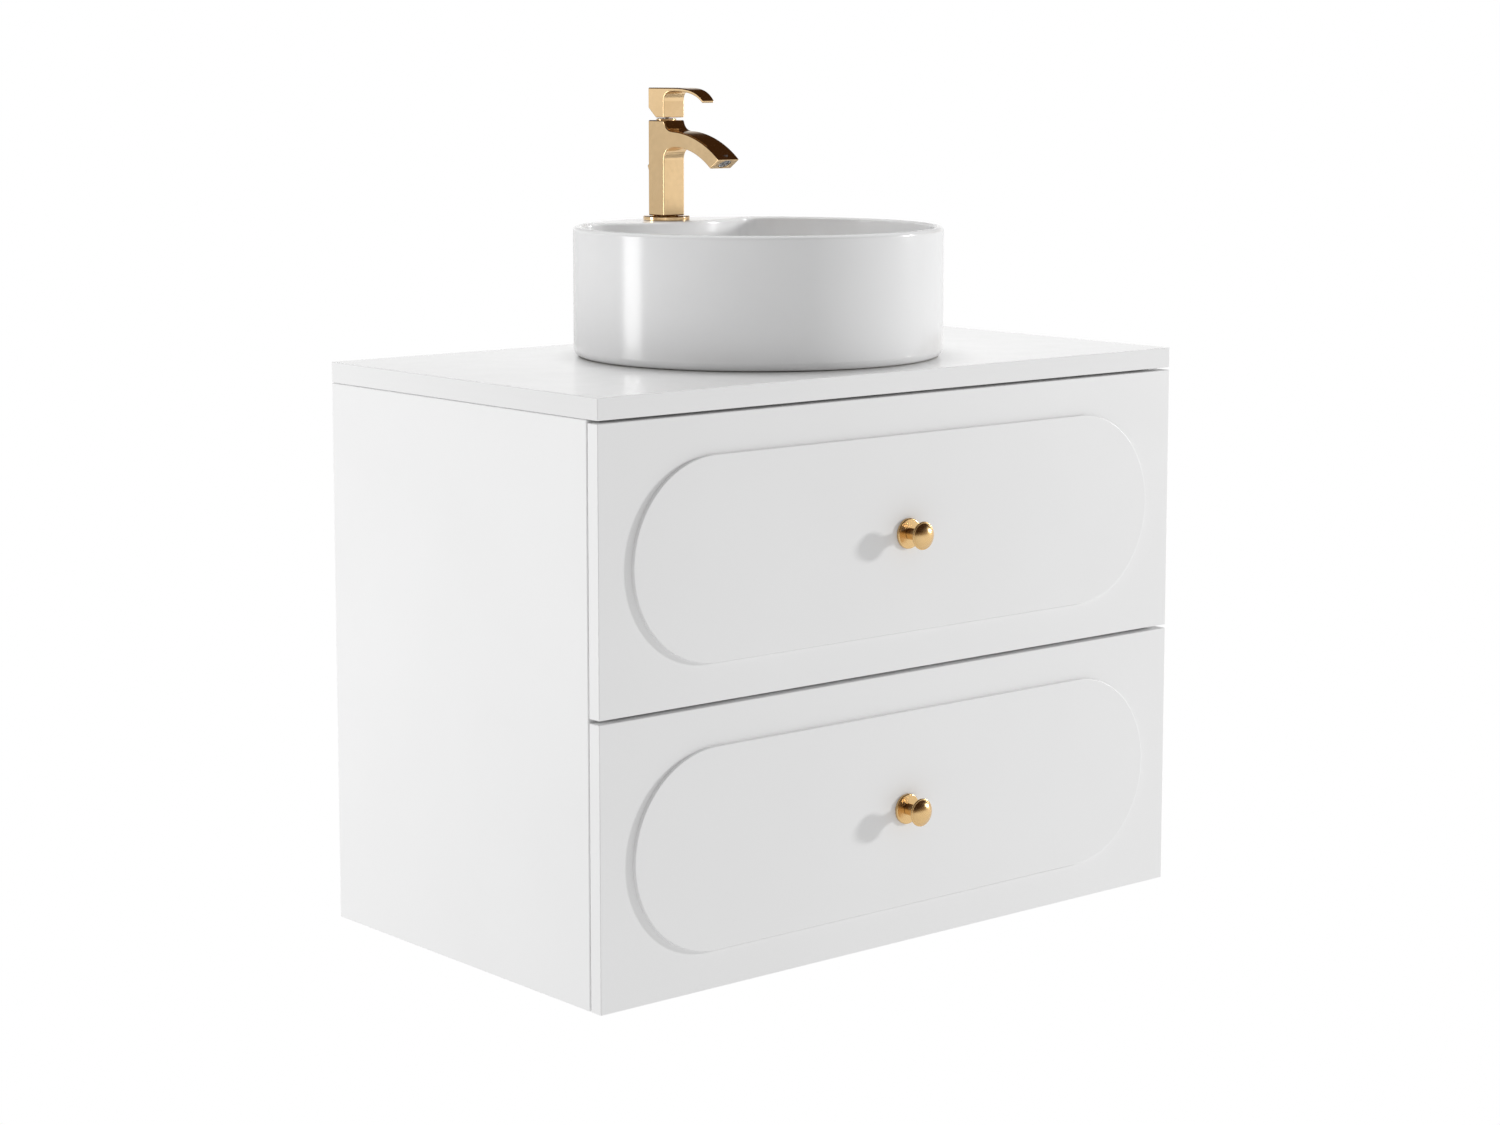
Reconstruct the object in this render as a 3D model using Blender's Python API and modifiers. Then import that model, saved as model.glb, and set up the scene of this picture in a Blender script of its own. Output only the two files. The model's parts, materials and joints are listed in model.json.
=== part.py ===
"""Wall-hung bathroom vanity: two drawers, a round vessel basin and a single-lever tap.

Run with: blender --background --python part.py

All sizes below are millimetres. x runs to the right, y is zero on the wall and negative
towards the room, and h is the height above the underside of the cabinet. The row frame has
its origin on the wall, at the middle of the hanging rail's back face, with +Z up.
"""
import math

import bmesh
import bpy
from mathutils import Vector

MM = 0.001
GAP = 0.3                      # clearance between pieces that touch

# Cabinet
WIDTH = 800.0
DEPTH = 462.0
PANEL = 16.0                   # carcass board thickness
CARCASS_H = 581.0              # underside of the worktop
TOP_H = 603.0                  # upper face of the worktop
HANG_H = 530.0                 # height of the row frame's origin
HANGING_RAIL = (480.0, 580.0)
LOWER_RAIL = (PANEL + GAP, 96.0)
INNER_X = WIDTH / 2 - PANEL    # inner face of the side panels
WORKTOP_WASTE_R = 36.0
WORKTOP_TAP_R = 30.0
BUMPER_GAP = 1.5               # between the closed fronts and the carcass

# Hangers in the top rear corners
HANGER_X = (334.0, 383.7)      # span of a hanger across the cabinet
HANGER_OUTLINE = [(-38, 516), (-10, 516), (-10, 562), (-4.2, 562), (-4.2, 552), (-2.8, 552),
                  (-2.8, 566), (-10, 566), (-10, 574), (-38, 574)]

# Drawer fronts
FRONT = 16.0                   # slab thickness
RAISE = 4.0                    # raised panel above the slab
UPPER_FRONT = (291.0, 578.0)
LOWER_FRONT = (0.0, 287.0)
PANEL_INSET = 40.0
FRONT_BACK_Y = -DEPTH + FRONT
CARCASS_FRONT_Y = FRONT_BACK_Y + BUMPER_GAP
FACE_Y = -DEPTH - RAISE        # face of the raised panels

# Drawer boxes and runners
RUNNER_W = 12.7
SIDE_T = 12.0
BOX_X = INNER_X - RUNNER_W     # outer face of the drawer sides
BOX_BACK_Y = -46.0
BOX_FLOOR_T = 10.0
RAIL_LENGTH = 396.0
RUNNER_RISE = 60.0             # runner's centre line above the drawer side's lower edge
UPPER_BOX = (306.0, 456.0)
LOWER_BOX = (30.0, 200.0)
CUTOUT_X = 90.0                # half width of the siphon cut-out
CUTOUT_Y = -310.0              # its front end
SURROUND_T = 4.0

# Basin
BASIN_Y = -227.0
BASIN_R = 200.0
BASIN_BASE_H = TOP_H + GAP
BASIN_H = 139.0
RIM_H = BASIN_BASE_H + BASIN_H
BOWL_R = 191.0                 # inner face of the wall at the rim
DECK_ARC_R = 190.0             # front edge of the tap deck
DECK_ARC_Y = 307.0             # centre of that arc, behind the basin's axis
BOWL_CORNER_R = 36.0
BOWL_FILLET = 28.0             # between wall and floor
RIM_ROUND = 3.0
FLOOR_H = BASIN_BASE_H + 22.0
SUMP_H = BASIN_BASE_H + 14.0
DECK_T = 12.0
SHELL_T = 10.0
WASTE_HOLE_R = 22.5

# Tap
TAP_Y = -68.5
COLUMN = 28.0                  # square column, across flats
TAP_HOLE_R = 17.5
ROD_BACK = 21.8                # pull rod behind the tap's axis
ROD_Y = TAP_Y + ROD_BACK
ROD_SLOT_R = 3.6

# Pop-up waste
PIVOT_Y = BASIN_Y + 24.0
PIVOT_H = 540.0
REST_TILT = math.radians(7.25)

parts = bpy.data.collections.new("vessel_sink_on_vanity")
cutters = bpy.data.collections.new("cutters")


def clear_scene():
    for obj in list(bpy.data.objects):
        bpy.data.objects.remove(obj, do_unlink=True)
    bpy.context.scene.collection.children.link(parts)
    bpy.context.scene.collection.children.link(cutters)


def world(x, y, h):
    """Point of the row frame, in metres, from cabinet millimetres."""
    return Vector((x * MM, y * MM, (h - HANG_H) * MM))


def material(name, color, roughness, metallic=0.0, coat=0.0):
    mat = bpy.data.materials.new(name)
    mat.use_nodes = True
    shader = mat.node_tree.nodes["Principled BSDF"]
    shader.inputs["Base Color"].default_value = (*color, 1.0)
    shader.inputs["Roughness"].default_value = roughness
    shader.inputs["Metallic"].default_value = metallic
    shader.inputs["Coat Weight"].default_value = coat
    return mat


def finish(name):
    """Own copy of a base finish for one piece."""
    color, roughness, metallic, coat = FINISHES[name]
    return material(name, color, roughness, metallic, coat)


FINISHES = {
    "lacquer": ((0.86, 0.86, 0.86), 0.42, 0.0, 0.0),
    "board": ((0.82, 0.82, 0.81), 0.6, 0.0, 0.0),
    "worktop": ((0.88, 0.88, 0.88), 0.18, 0.0, 0.4),
    "ceramic": ((0.88, 0.88, 0.88), 0.06, 0.0, 0.5),
    "gold": ((0.86, 0.62, 0.30), 0.12, 1.0, 0.0),
    "satin_gold": ((0.76, 0.52, 0.24), 0.28, 1.0, 0.0),
    "steel": ((0.62, 0.63, 0.64), 0.3, 1.0, 0.0),
    "brass": ((0.72, 0.56, 0.30), 0.35, 1.0, 0.0),
    "plastic": ((0.80, 0.80, 0.80), 0.45, 0.0, 0.0),
}


def add_object(name, mesh, look, location=(0, 0, 0), rotation=(0, 0, 0)):
    obj = bpy.data.objects.new(name, mesh)
    obj.location = location
    obj.rotation_euler = rotation
    if look is None:
        cutters.objects.link(obj)
        obj.hide_render = True
        obj.display_type = "WIRE"
    else:
        parts.objects.link(obj)
        mesh.materials.append(finish(look))
    return obj


def round_edges(obj, width, segments=2, angle=40):
    bevel = obj.modifiers.new("rounded_edges", "BEVEL")
    bevel.width = width * MM
    bevel.segments = segments
    bevel.limit_method = "ANGLE"
    bevel.angle_limit = math.radians(angle)
    return obj


def boolean(obj, tool, operation="DIFFERENCE"):
    step = obj.modifiers.new(tool.name, "BOOLEAN")
    step.operation = operation
    step.solver = "EXACT"
    step.object = tool
    return obj


def box(name, look, low, high, edge=0.0, segments=1):
    """Block between two corners given as (x, y, h)."""
    size = [(b - a) * MM for a, b in zip(low, high)]
    middle = world(*[(a + b) / 2 for a, b in zip(low, high)])
    shape = bmesh.new()
    bmesh.ops.create_cube(shape, size=1.0)
    bmesh.ops.scale(shape, vec=size, verts=shape.verts)
    mesh = bpy.data.meshes.new(name)
    shape.to_mesh(mesh)
    shape.free()
    obj = add_object(name, mesh, look, middle)
    if edge:
        round_edges(obj, edge, segments)
    return obj


def cylinder(name, look, base, radius, length, sides=32, rotation=(0, 0, 0)):
    """Round bar that starts at base = (x, y, h) and runs along its own +Z."""
    shape = bmesh.new()
    bmesh.ops.create_cone(shape, cap_ends=True, segments=sides, radius1=radius * MM,
                          radius2=radius * MM, depth=length * MM)
    bmesh.ops.translate(shape, vec=(0, 0, length * MM / 2), verts=shape.verts)
    mesh = bpy.data.meshes.new(name)
    shape.to_mesh(mesh)
    shape.free()
    mesh.shade_smooth()
    mesh.set_sharp_from_angle(angle=math.radians(40))
    return add_object(name, mesh, look, world(*base), rotation)


def turned(name, look, base, profile, steps=32, rotation=(0, 0, 0), closed=True):
    """Solid of revolution about its own Z at base. The profile is (radius, height) from the
    top of the outer side downwards. A closed profile makes a ring; an open one starts and
    ends on the axis."""
    mesh = bpy.data.meshes.new(name)
    points = [(r * MM, 0.0, z * MM) for r, z in profile]
    edges = [(i, i + 1) for i in range(len(points) - 1)]
    if closed:
        edges.append((len(points) - 1, 0))
    mesh.from_pydata(points, edges, [])
    obj = add_object(name, mesh, look, world(*base), rotation)
    screw = obj.modifiers.new("turned", "SCREW")
    screw.axis = "Z"
    screw.steps = steps
    screw.render_steps = steps
    screw.use_merge_vertices = True
    screw.merge_threshold = 0.00001
    screw.use_smooth_shade = True
    return obj


def prism(name, look, outline, start, end, plane="yh"):
    """Flat outline extruded between two values of the axis square to its plane.
    Outline points are (y, h) for plane "yh", (x, h) for "xh" and (x, y) for "xy"."""
    def point(a, b, c):
        if plane == "yh":
            return world(c, a, b)
        if plane == "xh":
            return world(a, c, b)
        return world(a, b, c)

    shape = bmesh.new()
    near = [shape.verts.new(point(a, b, start)) for a, b in outline]
    far = [shape.verts.new(point(a, b, end)) for a, b in outline]
    shape.faces.new(near)
    shape.faces.new(far)
    for i in range(len(outline)):
        j = (i + 1) % len(outline)
        shape.faces.new((near[i], near[j], far[j], far[i]))
    bmesh.ops.recalc_face_normals(shape, faces=shape.faces)
    mesh = bpy.data.meshes.new(name)
    shape.to_mesh(mesh)
    shape.free()
    return add_object(name, mesh, look)


def arc(center, radius, start, end, count):
    """Points on a circle from start to end, in degrees, both included."""
    points = []
    for i in range(count):
        angle = math.radians(start + (end - start) * i / (count - 1))
        points.append((center[0] + radius * math.cos(angle),
                       center[1] + radius * math.sin(angle)))
    return points


def bezier(p0, p1, p2, p3, count):
    """Points of a cubic curve, both ends included."""
    points = []
    for i in range(count):
        t = i / (count - 1)
        s = 1 - t
        weights = (s ** 3, 3 * s * s * t, 3 * s * t * t, t ** 3)
        points.append(tuple(sum(w * p[k] for w, p in zip(weights, (p0, p1, p2, p3)))
                            for k in (0, 1)))
    return points


# --- Carcass -----------------------------------------------------------------------------

def carcass():
    for side, sign in (("left", -1), ("right", 1)):
        xs = sorted((sign * WIDTH / 2, sign * INNER_X))
        box(f"{side}_side_panel", "lacquer", (xs[0], CARCASS_FRONT_Y, 0),
            (xs[1], 0, CARCASS_H - GAP), edge=0.8)
    inner = INNER_X - GAP
    box("bottom_panel", "board", (-inner, CARCASS_FRONT_Y, 0), (inner, 0, PANEL))
    box("front_top_rail", "board", (-inner, CARCASS_FRONT_Y, CARCASS_H - GAP - PANEL),
        (inner, CARCASS_FRONT_Y + 80, CARCASS_H - GAP))
    hanging_x = HANGER_X[0] - 4
    box("hanging_rail", "board", (-hanging_x, -PANEL, HANGING_RAIL[0]),
        (hanging_x, 0, HANGING_RAIL[1]))
    box("lower_back_rail", "board", (-inner, -PANEL, LOWER_RAIL[0]),
        (inner, 0, LOWER_RAIL[1]))


def hangers():
    """Hangers in the top rear corners, whose hooks drop behind a plate on the wall."""
    for side, sign in (("left", -1), ("right", 1)):
        prism(f"{side}_hanger", "steel", HANGER_OUTLINE, sign * HANGER_X[0],
              sign * HANGER_X[1])


def worktop():
    top = box("worktop", "worktop", (-WIDTH / 2, -DEPTH, CARCASS_H), (WIDTH / 2, 0, TOP_H),
              edge=0.8, segments=2)
    for name, y, radius in (("waste_cutout", BASIN_Y, WORKTOP_WASTE_R),
                            ("tap_cutout", TAP_Y, WORKTOP_TAP_R)):
        boolean(top, cylinder(name, None, (0, y, CARCASS_H - 5), radius, 40, 40))


# --- Basin -------------------------------------------------------------------------------

def bowl_outline(inset):
    """Plan of the bowl, as points around the basin's axis: the wall's arc, the deck's arc
    and a fillet in each corner. A larger inset gives a smaller, parallel plan."""
    wall = BOWL_R - inset
    deck = DECK_ARC_R + inset
    corner = BOWL_CORNER_R - inset
    # The fillet's centre keeps its distance from both arcs' centres.
    to_axis = BOWL_R - BOWL_CORNER_R
    to_deck = DECK_ARC_R + BOWL_CORNER_R
    cy = (to_axis ** 2 - to_deck ** 2 + DECK_ARC_Y ** 2) / (2 * DECK_ARC_Y)
    cx = math.sqrt(to_axis ** 2 - cy ** 2)
    wall_angle = math.degrees(math.atan2(cy, cx))
    deck_angle = math.degrees(math.atan2(cy - DECK_ARC_Y, cx))
    right = arc((cx, cy), corner, wall_angle, deck_angle + 180, 5)
    front = arc((0, DECK_ARC_Y), deck, deck_angle, -180 - deck_angle, 11)
    left = [(-x, y) for x, y in reversed(right)]
    around = arc((0, 0), wall, 180 - wall_angle, 360 + wall_angle, 33)
    return right + front[1:-1] + left + around[1:-1]


def bowl_cutter():
    """Loft from the rim down to the waste hole."""
    wall_foot = FLOOR_H + BOWL_FILLET
    draft = 3.0
    rings = [(RIM_H + 2, bowl_outline(-RIM_ROUND))]
    for step in range(3):
        angle = math.radians(60 - 30 * step)
        rings.append((RIM_H - RIM_ROUND * (1 - math.sin(angle)),
                      bowl_outline(-RIM_ROUND * (1 - math.cos(angle)))))
    for step in range(5):
        angle = math.radians(22.5 * step)
        rings.append((wall_foot - BOWL_FILLET * math.sin(angle),
                      bowl_outline(draft + BOWL_FILLET * (1 - math.cos(angle)))))
    floor = bowl_outline(draft + BOWL_FILLET)
    for radius, height in ((34.0, SUMP_H), (32.5, SUMP_H - 3), (WASTE_HOLE_R, SUMP_H - 3),
                           (WASTE_HOLE_R, BASIN_BASE_H - 2)):
        rings.append((height, [(x * radius / math.hypot(x, y), y * radius / math.hypot(x, y))
                               for x, y in floor]))
    shape = bmesh.new()
    loops = [[shape.verts.new(world(x, BASIN_Y + y, h)) for x, y in outline]
             for h, outline in rings]
    count = len(loops[0])
    for upper, lower in zip(loops, loops[1:]):
        for i in range(count):
            j = (i + 1) % count
            shape.faces.new((upper[i], upper[j], lower[j], lower[i]))
    shape.faces.new(loops[0])
    shape.faces.new(loops[-1])
    bmesh.ops.recalc_face_normals(shape, faces=shape.faces)
    mesh = bpy.data.meshes.new("bowl")
    shape.to_mesh(mesh)
    shape.free()
    return add_object("bowl", mesh, None)


def keyhole_outline():
    """Plan of the deck's tap hole, with a slot to the rear for the pull rod."""
    half_mouth = math.degrees(math.asin(ROD_SLOT_R / TAP_HOLE_R))
    return (arc((0, TAP_Y), TAP_HOLE_R, 90 + half_mouth, 450 - half_mouth, 24)
            + arc((0, ROD_Y), ROD_SLOT_R, 0, 180, 7))


def basin():
    top_round = arc((BASIN_R - 4, BASIN_H - 4), 4, 90, 0, 3)
    foot_round = arc((BASIN_R - 9, 9), 9, 0, -90, 4)
    profile = [(0, BASIN_H)] + top_round + foot_round + [(0, 0)]
    body = turned("basin", "ceramic", (0, BASIN_Y, BASIN_BASE_H), profile, steps=60,
                  closed=False)
    boolean(body, bowl_cutter())
    # The hollow under the tap deck is open at the foot, where the worktop's hole meets it.
    deck_face = BASIN_H - DECK_T
    hollow = cylinder("deck_hollow", None, (0, BASIN_Y + DECK_ARC_Y, BASIN_BASE_H - 5),
                      DECK_ARC_R - SHELL_T - 1, deck_face + 5, 48)
    bound = cylinder("hollow_bound", None, (0, BASIN_Y, BASIN_BASE_H - 20),
                     BASIN_R - SHELL_T, deck_face + 60, 48)
    boolean(hollow, bound, "INTERSECT")
    boolean(body, hollow)
    boolean(body, prism("tap_keyhole", None, keyhole_outline(), RIM_H - 20, RIM_H + 10, "xy"))


# --- Tap ---------------------------------------------------------------------------------

def side_view(points):
    """Tap outlines are given as (distance from the rear face, height above the deck)."""
    rear = TAP_Y + COLUMN / 2
    return [(rear - u, RIM_H + v) for u, v in points]


def taper(obj, start, end, tip_half):
    """Narrow a tap casting evenly towards its tip, between two distances from the rear."""
    rear = TAP_Y + COLUMN / 2
    for vertex in obj.data.vertices:
        along = rear - vertex.co.y / MM
        share = min(max((along - start) / (end - start), 0.0), 1.0)
        half = COLUMN / 2 + (tip_half - COLUMN / 2) * share
        vertex.co.x = math.copysign(half * MM, vertex.co.x)


SPOUT_TOP = (bezier((28, 111), (30, 103.2), (34.5, 99.8), (43, 99.3), 7)
             + bezier((43, 99.3), (72, 98.3), (101, 87.8), (123.6, 69.6), 9)[1:])
SPOUT_UNDER = (bezier((108.3, 59.4), (90, 74), (68, 81.8), (47, 81.6), 8)
               + bezier((47, 81.6), (37, 81.6), (28, 78), (28, 67), 6)[1:])
LEVER_TOP = [(0, 124.6), (0, 147)] + bezier((42, 147), (65, 147), (78, 144), (88.6, 133.2), 9)
LEVER_UNDER = (bezier((87, 130.3), (77, 140.3), (63, 143.2), (42, 143.2), 7)
               + bezier((42, 143.2), (33, 143.2), (28, 140), (28, 132), 6)[1:]
               + [(28, 114), (13, 114)])
SPOUT_END_SLOPE = math.atan2(15.3, 10.2)  # the end face looks down by this much


def tap():
    plate_h = 4.8
    plate = turned("tap_base_plate", "gold", (0, TAP_Y, RIM_H + GAP),
                   [(26, 3.5), (26, 0), (13, 0), (13, plate_h - GAP), (25, 4.5)], 28)
    boolean(plate, cylinder("plate_rod_hole", None, (0, ROD_Y, RIM_H - 2), 2.35, 12, 12))

    outline = [(0, 5.1), (0, 111)] + SPOUT_TOP + SPOUT_UNDER + [(28, 5.1)]
    body = prism("tap_body", "gold", side_view(outline), -COLUMN / 2, COLUMN / 2)
    taper(body, 45, 123.6, 14.6)
    round_edges(body, 1.2, 2, 32)
    boolean(body, cylinder("cartridge_bore", None, (0, TAP_Y, RIM_H + 68), 10.8, 50, 28))
    end_y, end_h = side_view([(115.95, 64.5)])[0]
    outward = Vector((0, -math.cos(SPOUT_END_SLOPE), -math.sin(SPOUT_END_SLOPE)))
    down_spout = outward.to_track_quat("Z", "Y").to_euler()
    pocket_y, pocket_h = end_y - outward.y * 8, end_h - outward.z * 8
    boolean(body, cylinder("aerator_pocket", None, (0, pocket_y, pocket_h), 7.7, 14, 20,
                           down_spout))
    for name, x, y, radius in INLET_PORTS:
        boolean(body, cylinder(f"{name}_port", None, (x, TAP_Y + y, RIM_H), radius + 0.3, 20,
                               16))
    turned("tap_aerator", "steel", (0, pocket_y - GAP * outward.y, pocket_h - GAP),
           [(0, 4.5), (5.6, 4.5), (5.6, 6.8), (7.2, 6.8), (7.2, 0), (0, 0)], 20, down_spout,
           closed=False)

    turned("tap_cartridge", "plastic", (0, TAP_Y, RIM_H + 68.4),
           [(0, 38), (7, 38), (7, 34), (10.4, 34), (10.4, 0), (0, 0)], 20, closed=False)
    turned("tap_neck_ring", "gold", (0, TAP_Y, RIM_H + 102.8),
           [(10.4, 8.6), (10.4, 0), (8.2, 0), (8.2, 10.2), (9.6, 10.2), (11.4, 9.4),
            (11.4, 8.6)], 24)
    turned("cartridge_turntable", "plastic", (0, TAP_Y, RIM_H + 106.8),
           [(7.8, 5.6), (7.8, 0), (5.2, 0), (5.2, 5.6)], 18)

    lever = prism("tap_lever", "gold", side_view(LEVER_TOP + LEVER_UNDER), -COLUMN / 2,
                  COLUMN / 2)
    taper(lever, 28, 88.6, 7.9)
    round_edges(lever, 0.8, 2, 32)
    boolean(lever, cylinder("stem_socket", None, (0, TAP_Y, RIM_H + 112), 3.3, 18, 16))
    cylinder("cartridge_stem", "steel", (0, TAP_Y, RIM_H + 110.2), 2.9, 19.3, 16)


# name, x, y from the tap's axis, radius
INLET_PORTS = [("cold_inlet", 6.5, -3.0, 4.8), ("hot_inlet", -6.5, -3.0, 4.8),
               ("tap_stud", 0.0, 8.0, 3.0)]


def tap_fixings():
    """Stud, horseshoe washer, nut and the two hose inlets, in the hollow under the deck."""
    for name, x, y, radius in INLET_PORTS:
        look = "steel" if name == "tap_stud" else "brass"
        low = RIM_H - 55
        if look == "steel":
            cylinder(name, look, (x, TAP_Y + y, low), radius, 74, 16)
        else:
            turned(name, look, (x, TAP_Y + y, low),
                   [(radius, 74), (radius, 16), (6.0, 16), (6.0, 0), (2.6, 0), (2.6, 74)],
                   16)
    washer_top = RIM_H - DECK_T - GAP
    washer = cylinder("tap_backing_washer", "steel", (0, TAP_Y, washer_top - 3), 24, 3, 32)
    boolean(washer, box("washer_slot", None, (-13.5, TAP_Y - 40, washer_top - 8),
                        (13.5, TAP_Y + 3.6, washer_top + 5)))
    boolean(washer, cylinder("washer_stud_hole", None, (0, TAP_Y + 9, washer_top - 8), 4.4,
                             14, 16))
    boolean(washer, cylinder("washer_rod_notch", None, (0, ROD_Y, washer_top - 8), 4.2, 14,
                             16))
    nut = cylinder("tap_stud_nut", "steel", (0, TAP_Y + 8, washer_top - 3 - GAP - 6), 5.8, 6,
                   6)
    boolean(nut, cylinder("nut_bore", None, (0, TAP_Y + 8, washer_top - 16), 3.3, 20, 16))


# --- Pop-up waste and trap ---------------------------------------------------------------

def waste():
    seat = SUMP_H - 3 + GAP
    turned("waste_flange", "gold", (0, BASIN_Y, 0),
           [(31.5, seat + 1.6), (31.5, seat), (21, seat), (21, 575), (17.5, 575),
            (17.5, seat - 3.5), (20.6, seat + 2.0), (30, seat + 2.6)], 24)
    nut = cylinder("waste_nut", "brass", (0, BASIN_Y, 593), 33, 10, 6)
    boolean(nut, cylinder("waste_nut_bore", None, (0, BASIN_Y, 580), 21.3, 30, 32))

    tail = turned("waste_tailpiece", "brass", (0, BASIN_Y, 0),
                  [(25, 591), (25, 560), (19.5, 556), (19.5, 520), (16, 516), (16, 400),
                   (14.2, 400), (14.2, 514), (17, 520), (17, 574.7), (21.3, 574.7),
                   (21.3, 591)], 20)
    port = cylinder("pivot_port", None, (0, BASIN_Y + 34, PIVOT_H), 9, 16, 16,
                    (math.pi / 2, 0, 0))
    boolean(tail, port, "UNION")
    bore = cylinder("pivot_bore", None, (0, BASIN_Y + 40, PIVOT_H), 6.2, 30, 16,
                    (math.pi / 2, 0, 0))
    boolean(tail, bore)

    lift = 6.0                 # the plug stands this far above its seat when open
    turned("waste_plug", "gold", (0, BASIN_Y, seat + lift),
           [(0, 2.9), (10, 2.6), (17.6, 1.6), (18.9, 0.9), (16.6, -3.0), (4, -4), (3, -6),
            (3, PIVOT_H + 5.8 - seat - lift), (0, PIVOT_H + 5.8 - seat - lift)], 24,
           closed=False)


def popup_linkage():
    inner_arm = 24.0
    outer_arm = ROD_Y + 12 - PIVOT_Y
    lever = cylinder("popup_ball_rod", "steel",
                     (0, PIVOT_Y - inner_arm * math.cos(REST_TILT),
                      PIVOT_H + inner_arm * math.sin(REST_TILT)), 2,
                     inner_arm + outer_arm, 12, (-math.pi / 2 - REST_TILT, 0, 0))
    ball_mesh = bmesh.new()
    bmesh.ops.create_uvsphere(ball_mesh, u_segments=12, v_segments=8, radius=5.4 * MM)
    mesh = bpy.data.meshes.new("pivot_ball")
    ball_mesh.to_mesh(mesh)
    ball_mesh.free()
    boolean(lever, add_object("pivot_ball", mesh, None, world(0, PIVOT_Y, PIVOT_H)), "UNION")

    knob_h = RIM_H + 62
    rod_end = 545.0
    turned("popup_pull_rod", "gold", (0, ROD_Y, knob_h),
           [(0, 0), (4.5, -0.2), (7.0, -0.9), (7.3, -2.2), (5.9, -9.6), (4.0, -11.2),
            (2, -12.5), (2, rod_end - knob_h), (0, rod_end - knob_h)], 16, closed=False)
    strap_y = ROD_Y + 2.3
    strap = box("popup_strap", "steel", (-6, strap_y, 500), (6, strap_y + 2, 572))
    strap_hole_h = PIVOT_H - (strap_y + 1 - PIVOT_Y) * math.tan(REST_TILT)
    boolean(strap, cylinder("strap_hole", None, (0, strap_y + 8, strap_hole_h), 4.2, 16, 16,
                            (math.pi / 2, 0, 0)))


OUTLET_H = 440.0


def trap():
    cup = turned("trap_cup", "plastic", (0, BASIN_Y, 0),
                 [(31, 470), (31, 364), (28, 356), (20, 352), (0, 352), (0, 355), (19, 355),
                  (26, 358.5), (28.5, 366), (28.5, 470)], 24)
    branch = cylinder("outlet_branch", None, (0, BASIN_Y + 52, OUTLET_H), 18.6, 25, 20,
                      (math.pi / 2, 0, 0))
    boolean(cup, branch, "UNION")
    boolean(cup, cylinder("outlet_bore", None, (0, BASIN_Y + 60, OUTLET_H), 16.4, 45, 20,
                          (math.pi / 2, 0, 0)))
    turned("trap_cap", "plastic", (0, BASIN_Y, 0),
           [(34, 484), (35, 482), (35, 461.5), (31.4, 461.5), (31.4, 470.3), (16.4, 470.3),
            (16.4, 484)], 24)
    length = -3 - (BASIN_Y + 33)
    turned("trap_outlet_pipe", "plastic", (0, -3, OUTLET_H),
           [(16, length), (16, 0), (14.2, 0), (14.2, length)], 20, (math.pi / 2, 0, 0))
    turned("wall_flange", "plastic", (0, -0.5, OUTLET_H),
           [(16.4, 9), (21, 8), (34, 2), (34, 0), (16.4, 0)], 24, (math.pi / 2, 0, 0))


# --- Drawers -----------------------------------------------------------------------------

def drawer_front(level, low, high):
    """Slab with a raised panel whose ends are half circles."""
    slab = box(f"{level}_drawer_front", "lacquer", (-WIDTH / 2, -DEPTH, low),
               (WIDTH / 2, FRONT_BACK_Y, high), edge=0.8, segments=2)
    middle = (low + high) / 2
    radius = (high - low) / 2 - PANEL_INSET
    straight = WIDTH / 2 - PANEL_INSET - radius
    outline = (arc((straight, middle), radius, -90, 90, 19)
               + arc((-straight, middle), radius, 90, 270, 19))
    panel = prism(f"{level}_raised_panel", None, outline, -DEPTH + 6, FACE_Y, "xh")
    round_edges(panel, 1.0, 2, 50)
    boolean(slab, panel, "UNION")
    boolean(slab, cylinder(f"{level}_screw_hole", None, (0, FRONT_BACK_Y + 5, middle), 2.5,
                           40, 16, (math.pi / 2, 0, 0)))
    return middle


KNOB_PROFILE = [(0, 29.2), (5.4, 28.6), (10.4, 26.8), (13.8, 24.0), (14.75, 21.4),
                (13.4, 19.0), (8.4, 15.6), (6.0, 12.0), (6.0, 3.4), (0, 3.4)]


def knob(level, middle):
    forward = (math.pi / 2, 0, 0)
    turned(f"{level}_knob_rosette", "satin_gold", (0, FACE_Y - GAP, middle),
           [(14.8, 3.0), (16, 2.0), (16, 0), (2.6, 0), (2.6, 3.0)], 24, forward)
    head = turned(f"{level}_knob", "satin_gold", (0, FACE_Y - GAP, middle), KNOB_PROFILE, 24,
                  forward, closed=False)
    boolean(head, cylinder(f"{level}_knob_bore", None, (0, FACE_Y + 5, middle), 2.4, 22, 16,
                           forward))
    screw = cylinder(f"{level}_knob_screw", "steel", (0, FRONT_BACK_Y + GAP + 2.2, middle), 2,
                     36, 12, forward)
    boolean(screw, cylinder(f"{level}_screw_head", None,
                            (0, FRONT_BACK_Y + GAP + 2.4, middle), 4.5, 2.2, 16, forward),
            "UNION")


def drawer_sides(level, low, high):
    box_front_y = FRONT_BACK_Y + GAP
    for side, sign in (("left", -1), ("right", 1)):
        xs = sorted((sign * BOX_X, sign * (BOX_X - SIDE_T)))
        box(f"{level}_drawer_{side}_side", "board", (xs[0], box_front_y, low),
            (xs[1], BOX_BACK_Y, high), edge=0.6)


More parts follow.
